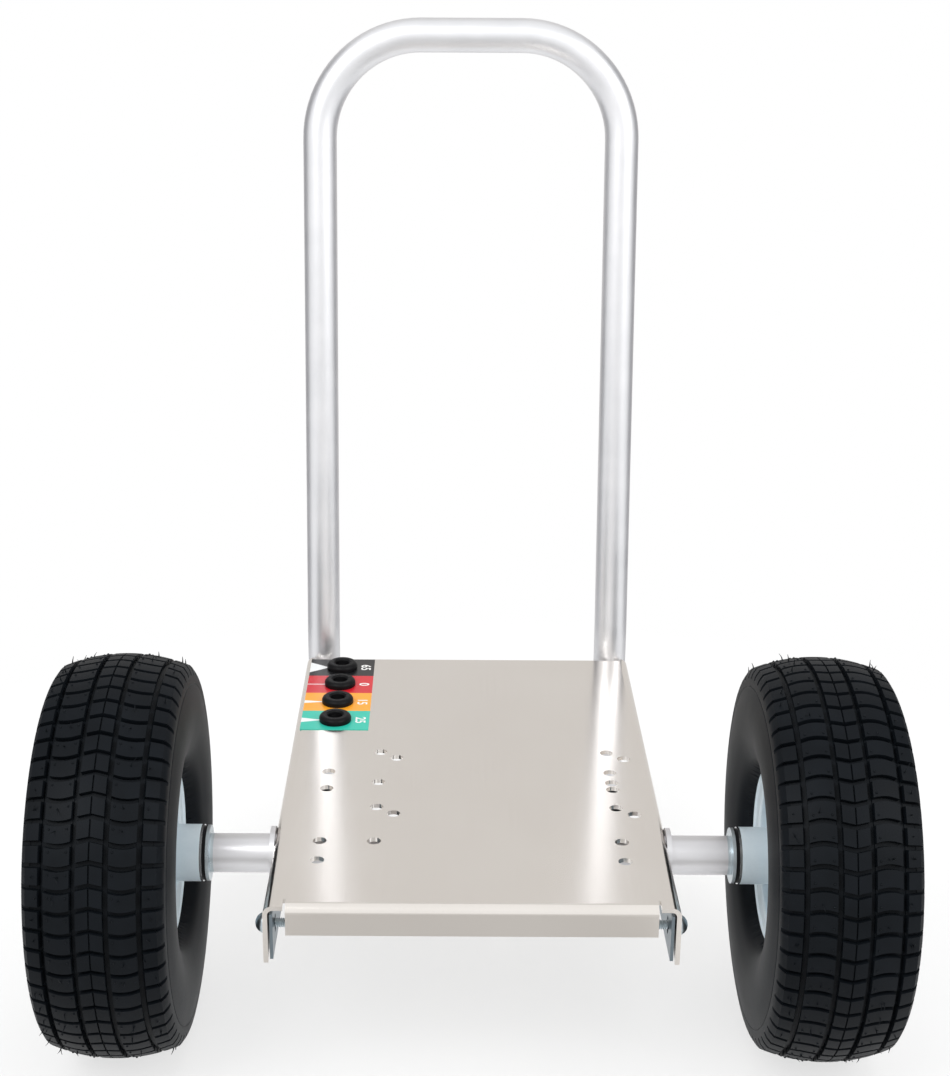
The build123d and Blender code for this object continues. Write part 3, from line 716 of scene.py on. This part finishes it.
# %% Threaded rod
THREAD_PITCH = 1.27
THREAD_DEPTH = 0.72
THREAD_CORNERS = 18
ROWS_PER_TURN = 6
THREAD_CREASE = 30.0


def threaded_rod():
    """Radius R minus depth times a triangle wave of x / pitch minus the angle's share of a turn.
    A row drawn together to one point closes each end."""
    low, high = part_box("tie_rod")
    radius = (high[2] - low[2]) / 2 / MM
    centre_y, centre_z = (low[1] + high[1]) / 2, (low[2] + high[2]) / 2
    rows = int((high[0] - low[0]) / MM / THREAD_PITCH * ROWS_PER_TURN)
    x = np.linspace(low[0] / MM, high[0] / MM, rows)[:, None]
    angle = round_about(THREAD_CORNERS)[None]
    wave = np.abs(2 * ((x / THREAD_PITCH - angle / (2 * np.pi)) % 1.0) - 1)
    r = radius - THREAD_DEPTH * wave
    points = np.stack([np.broadcast_to(x, r.shape) * MM, centre_y + r * MM * np.cos(angle),
                       centre_z + r * MM * np.sin(angle)], -1)
    ends = points[[0, -1]].mean(1, keepdims=True).repeat(THREAD_CORNERS, 1)
    points = np.concatenate([ends[:1], points, ends[1:]])
    faces = grid_faces(rows + 2, THREAD_CORNERS, False, True)
    return mesh_piece("threaded_rod", points.reshape(-1, 3), faces, FASTENER, "chassis",
                      THREAD_CREASE, ["tie_rod"])


rod = threaded_rod()
print("threaded rod quads:", len(rod.data.polygons))

# %% [markdown]
# ## The nozzle chart
#
# The printed film under the four grommets has one colour for each spray angle. In every band a
# white fan of that angle opens from the grommet to the film's outer edge. An image would do, but it
# would have to be drawn and mapped first. Bands and fans are so plain that shader maths on the
# object's coordinates draws them sharply at any distance.

# %% Chart bands and fans
SPRAY_ANGLES = (65, 0, 15, 25)
BAND_COLOURS = ((20, 20, 22), (200, 22, 38), (244, 160, 34), (40, 186, 164))
PRINT_WHITE = (236, 238, 238)
PRINT_ROUGHNESS = 0.26
PRINT_CLOUD = 0.004
PRINT_DEPTH = 0.000008
FAN_LINE_HALF = 0.0005
FAN_SHARE = 0.42  # most of a band's height to each side of its middle
GROMMET_R = 0.0108
chart_low, chart_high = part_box("nozzle_label")
BAND = (chart_high[1] - chart_low[1]) / len(SPRAY_ANGLES)


def band_middle(index):
    """Centre of a band along Y, counted from the rear."""
    return chart_high[1] - (index + 0.5) * BAND


def chart_material():
    """Colour by band. A fan is where the distance from the band's middle is under reach times the
    tangent of half its angle, plus half a thin line's width."""
    colour = from_srgb(*BAND_COLOURS[0])
    shader = Shader("label_print", colour, PRINT_ROUGHNESS)
    spot = shader.spot()
    x = shader.node("ShaderNodeSeparateXYZ", {}, [spot], "X")
    y = shader.node("ShaderNodeSeparateXYZ", {}, [spot], "Y")
    for index, tone in enumerate(BAND_COLOURS[1:], 1):
        colour = shader.mix(y.below(chart_high[1] - index * BAND), colour, from_srgb(*tone))
    grommet_x = sum(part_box("nozzle_grommet_1")[i][0] for i in range(2)) / 2
    outwards = (grommet_x - GROMMET_R) - x
    fan = None
    for index, degrees in enumerate(SPRAY_ANGLES):
        off = (y - band_middle(index)).math("ABSOLUTE")
        width = outwards * math.tan(math.radians(degrees) / 2) + FAN_LINE_HALF
        inside = off.below(width) * outwards.above(0.0) * off.below(BAND * FAN_SHARE)
        fan = inside if fan is None else fan + inside
    ink = shader.noise(PRINT_CLOUD, 2.0)
    shader.set("Base Color", shader.mix(fan.limited(), colour, from_srgb(*PRINT_WHITE)))
    shader.set("Roughness", PRINT_ROUGHNESS + ink * 0.1)
    shader.bump(ink, PRINT_DEPTH)
    return shader.material


CHART = chart_material()
print("chart band:", round(BAND / MM, 1), "mm")

# %% [markdown]
# A plain number of degrees stands on the inner side of each grommet. Letters are hard to write as
# shader maths, so Blender's text object shapes the digits, and its mesh is kept as a print less
# than a tenth of a millimetre high.

# %% Chart numbers
NUMBER_HEIGHT = 0.0105
NUMBER_BOLD = 0.00018
NUMBER_INSET = 0.0068
PRINT_RAISE = 0.00008
INK = Shader("number_print", from_srgb(232, 232, 230), 0.4).material


def chart_number(index, degrees):
    """Digits as a thin flat mesh, turned a quarter so that they read from the cart's side."""
    text = bpy.data.curves.new(f"digits_{index}", "FONT")
    text.body = f"{degrees}"
    text.size = NUMBER_HEIGHT
    text.align_x = "CENTER"
    text.align_y = "CENTER"
    text.extrude = PRINT_RAISE / 2
    text.offset = NUMBER_BOLD
    holder = placed(f"digits_{index}", text)
    bpy.context.view_layer.update()
    shaped = bpy.data.meshes.new_from_object(holder.evaluated_get(bpy.context.evaluated_depsgraph_get()))
    bpy.data.objects.remove(holder)
    x = chart_high[0] - NUMBER_INSET
    place = Matrix.Translation((x, band_middle(index), chart_high[2] + PRINT_RAISE / 2))
    shaped.transform(place @ Matrix.Rotation(math.radians(-90), 4, "Z"))
    shaped.materials.clear()
    shaped.materials.append(INK)
    piece = placed(f"chart_number_{index + 1}", shaped)
    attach(piece, "chassis")


for index, degrees in enumerate(SPRAY_ANGLES):
    chart_number(index, degrees)
print("numbers:", SPRAY_ANGLES)

# %% [markdown]
# ## The finishes of the pieces that keep their own shape
#
# The frame's own meshes of the sheet, the tubes, the rims and the fasteners are fine enough to
# show, so nothing is modelled again and each one only takes its finish. The first words of a node's
# name say what it is.

# %% Finishes by name
FINISHES = {
    "base_plate": STAINLESS,
    "handle_frame": HANDLE_METAL,
    "nozzle_label": CHART,
    "axle_tube": AXLE_METAL,
    "axle_collar": AXLE_METAL,
    "rim": RIM_METAL,
    "hub_seals": SMOOTH_RUBBER,
    "hub": RIM_METAL,
    "leg_tip": SMOOTH_RUBBER,
    "nozzle_grommet": SMOOTH_RUBBER,
    "valve_stem": SMOOTH_RUBBER,
    "inner_tube": SMOOTH_RUBBER,
    "valve_cap": BLACK_PLASTIC,
    "bearing": STEEL,
    "axle_shaft": STEEL,
    "side_rail": RAIL_METAL,
    "rim_bolts": FASTENER,
    "rim_nuts": FASTENER,
}


def finish_of(name):
    """The longest opening word that fits the name, or the fastener plating."""
    fitting = [word for word in FINISHES if name.startswith(word)]
    return FINISHES[max(fitting, key=len)] if fitting else FASTENER


for name, node in NODES.items():
    if not node.hide_render:
        node.data.materials.clear()
        node.data.materials.append(finish_of(name))
print("finished nodes:", len(NODES))

# %% [markdown]
# ## Floor and room
#
# The cart stands in a white room whose floor has no edge. A curved studio backdrop could give that,
# but its bend would show in the mirror of the deck. Here the floor is mostly clear paper, which
# keeps a faint shadow, and it grows clearer away from the middle until only the white of the world
# is left. The world is full white for the eye and for mirrors, and weaker where it lights the cart, so
# that pale metal isn't washed out.

# %% Floor and room
FLOOR_HALF = 2.0
PAPER = (0.93, 0.93, 0.93)
SHADOW_LOSS = 0.68  # how clear the paper is in the middle
FADE_START = 0.45
FADE_SLOPE = 2.0
ROOM_LIGHT = 0.8


def lying(half, front, back, height):
    """Corners of a level sheet that reaches half its width to each side of the middle."""
    return [(-half, front, height), (half, front, height), (half, back, height), (-half, back, height)]


def flat_sheet(name, corners, material):
    """One quad through four corners."""
    mesh = bpy.data.meshes.new(name)
    mesh.from_pydata(corners, [], [(0, 1, 2, 3)])
    mesh.materials.append(material)
    return placed(name, mesh)


def pale_floor():
    """How clear the paper is: its share in the middle plus slope times the distance past a start."""
    shader = Shader("floor_paper", PAPER, 0.9)
    far = shader.node("ShaderNodeVectorMath", {"operation": "LENGTH"}, [shader.spot()], "Value")
    fade = SHADOW_LOSS + (far - FADE_START) * FADE_SLOPE
    fade = fade.limited().math("MAXIMUM", SHADOW_LOSS)
    clear = shader.node("ShaderNodeBsdfTransparent", {}, [])
    paper = Value(shader, shader.main.outputs[0])
    both = shader.node("ShaderNodeMixShader", {}, [fade, paper, clear])
    shader.plug(shader.tree.nodes["Material Output"].inputs[0], both)
    floor = flat_sheet("floor", lying(FLOOR_HALF, -FLOOR_HALF, FLOOR_HALF, 0.0), shader.material)


def white_room(light):
    """Strength is light, plus 1 - light where the ray comes from the eye, a mirror or clear glass."""
    world = bpy.data.worlds.new("room")
    bpy.context.scene.world = world
    world.use_nodes = True
    graph = Graph(world.node_tree)
    back = graph.tree.nodes["Background"]
    path = graph.tree.nodes.new("ShaderNodeLightPath")
    rays = ("Is Camera Ray", "Is Glossy Ray", "Is Transmission Ray")
    eye, mirror, glass = (Value(graph, path.outputs[ray]) for ray in rays)
    seen = eye.math("MAXIMUM", mirror).math("MAXIMUM", glass)
    graph.plug(back.inputs["Color"], (1.0, 1.0, 1.0, 1.0))
    graph.plug(back.inputs["Strength"], seen * (1.0 - light) + light)


pale_floor()
white_room(ROOM_LIGHT)
print("floor reaches", FLOOR_HALF, "m each way, and the room lights at", ROOM_LIGHT)

# %% [markdown]
# ## Lamps and cards
#
# Bare metal shows little but what it mirrors, so it is lit as a studio does it. Large soft lamps
# stand at both sides in front and one behind. Grey cards, which only mirrors can see, give the deck
# its even tone and the tubes their dark edges, and they leave light and shadow as they are.

# %% Lamps and cards
AIM = Vector((0.0, -0.05, 0.25))


def soft_lamp(name, place, size, power, mirrored):
    """A square area lamp that faces the middle of the cart. mirrored lets metals reflect it."""
    data = bpy.data.lights.new(name, "AREA")
    data.energy = power
    data.size = size
    lamp = placed(name, data)
    lamp.location = place
    lamp.rotation_euler = (AIM - Vector(place)).to_track_quat("-Z", "Y").to_euler()
    lamp.visible_glossy = mirrored


def card(name, corners, tone):
    """A glowing card that only mirrors see. Its tone is what a perfect mirror would show."""
    material = bpy.data.materials.new(f"{name}_glow")
    material.use_nodes = True
    graph = Graph(material.node_tree)
    graph.tree.nodes.remove(graph.tree.nodes["Principled BSDF"])
    glow = graph.node("ShaderNodeEmission", {}, {"Color": (*tone, 1.0)})
    graph.plug(graph.tree.nodes["Material Output"].inputs[0], glow)
    sheet = flat_sheet(name, corners, material)
    sheet.visible_camera = False
    sheet.visible_diffuse = False
    sheet.visible_shadow = False
    sheet.visible_transmission = False


def standing(x0, y0, x1, y1, bottom, top):
    """Corners of an upright card between two places on the floor plan."""
    return [(x0, y0, bottom), (x1, y1, bottom), (x1, y1, top), (x0, y0, top)]


# Each card has its corners and its tone
CARDS = {
    "back_card": (standing(-1.1, 1.3, 1.1, 1.3, -0.5, 2.6), (0.74, 0.725, 0.71)),
    "front_card": (standing(-1.6, -2.6, 1.6, -2.6, -1.4, 0.2), (0.72, 0.71, 0.7)),
    "paper_card": (lying(0.15, -0.9, -0.3, 0.004), (0.6, 0.59, 0.58)),
    "left_card": (standing(-1.1, 1.3, -2.0, 0.2, -0.5, 2.2), (0.3, 0.3, 0.31)),
    "right_card": (standing(1.1, 1.3, 2.0, 0.2, -0.5, 2.2), (0.3, 0.3, 0.31)),
}
# Each lamp has its place, its size in metres, its power in watts, and whether metal mirrors it
LAMPS = {
    "key_lamp": ((-1.3, -1.6, 2.2), 1.2, 30.0, True),
    "fill_lamp": ((1.6, -1.2, 1.6), 1.2, 18.0, True),
    "back_lamp": ((0.3, 1.8, 2.0), 1.6, 16.0, False),
}
for name, (corners, tone) in CARDS.items():
    card(name, corners, tone)
for name, settings in LAMPS.items():
    soft_lamp(name, *settings)
print("cards:", len(CARDS), "lamps:", len(LAMPS))

# %% [markdown]
# ## Camera
#
# The camera was worked out from the deck's edges, the holes, the axle and the wheels in the
# photograph. It could be turned by eye until the picture fits, but a worked out one also tells how
# far each piece reaches. It stands a little left of the middle, about 0.6 m above the axle, and
# looks down by twenty degrees. Focal length and centre are in the photograph's pixels, and the
# place is in metres from the middle of the axle.

# %% Camera
PHOTO_WIDTH, PHOTO_HEIGHT = 950, 1076
FOCAL_PX = 1870.8
CENTRE_PX = (446.9, 538.0)
CAMERA_FROM_AXLE = (-0.0163, -1.0844, 0.6041)
YAW, PITCH, ROLL = math.radians(-0.01), math.radians(19.54), math.radians(0.31)
SENSOR_MM = 36.0


def photo_camera():
    """Axes from yaw, pitch and roll. The lens is the focal length as a share of the long side."""
    ahead = Vector((math.sin(YAW) * math.cos(PITCH), math.cos(YAW) * math.cos(PITCH), -math.sin(PITCH)))
    level = Vector((math.cos(YAW), -math.sin(YAW), 0.0))
    up = level.cross(ahead)
    right = level * math.cos(ROLL) + up * math.sin(ROLL)
    top = up * math.cos(ROLL) - level * math.sin(ROLL)
    data = bpy.data.cameras.new("camera")
    data.sensor_width = SENSOR_MM
    data.lens = FOCAL_PX / PHOTO_HEIGHT * SENSOR_MM
    data.shift_x = (PHOTO_WIDTH / 2 - CENTRE_PX[0]) / PHOTO_HEIGHT
    data.shift_y = (CENTRE_PX[1] - PHOTO_HEIGHT / 2) / PHOTO_HEIGHT
    camera = placed("camera", data)
    camera.matrix_world = Matrix((
        (right.x, top.x, -ahead.x, CAMERA_FROM_AXLE[0]),
        (right.y, top.y, -ahead.y, CAMERA_FROM_AXLE[1] + AXLE_Y),
        (right.z, top.z, -ahead.z, CAMERA_FROM_AXLE[2] + AXLE_Z),
        (0.0, 0.0, 0.0, 1.0),
    ))
    bpy.context.scene.camera = camera
    return camera


bpy.context.scene.view_settings.view_transform = "Standard"
print("lens:", round(photo_camera().data.lens, 2), "mm")
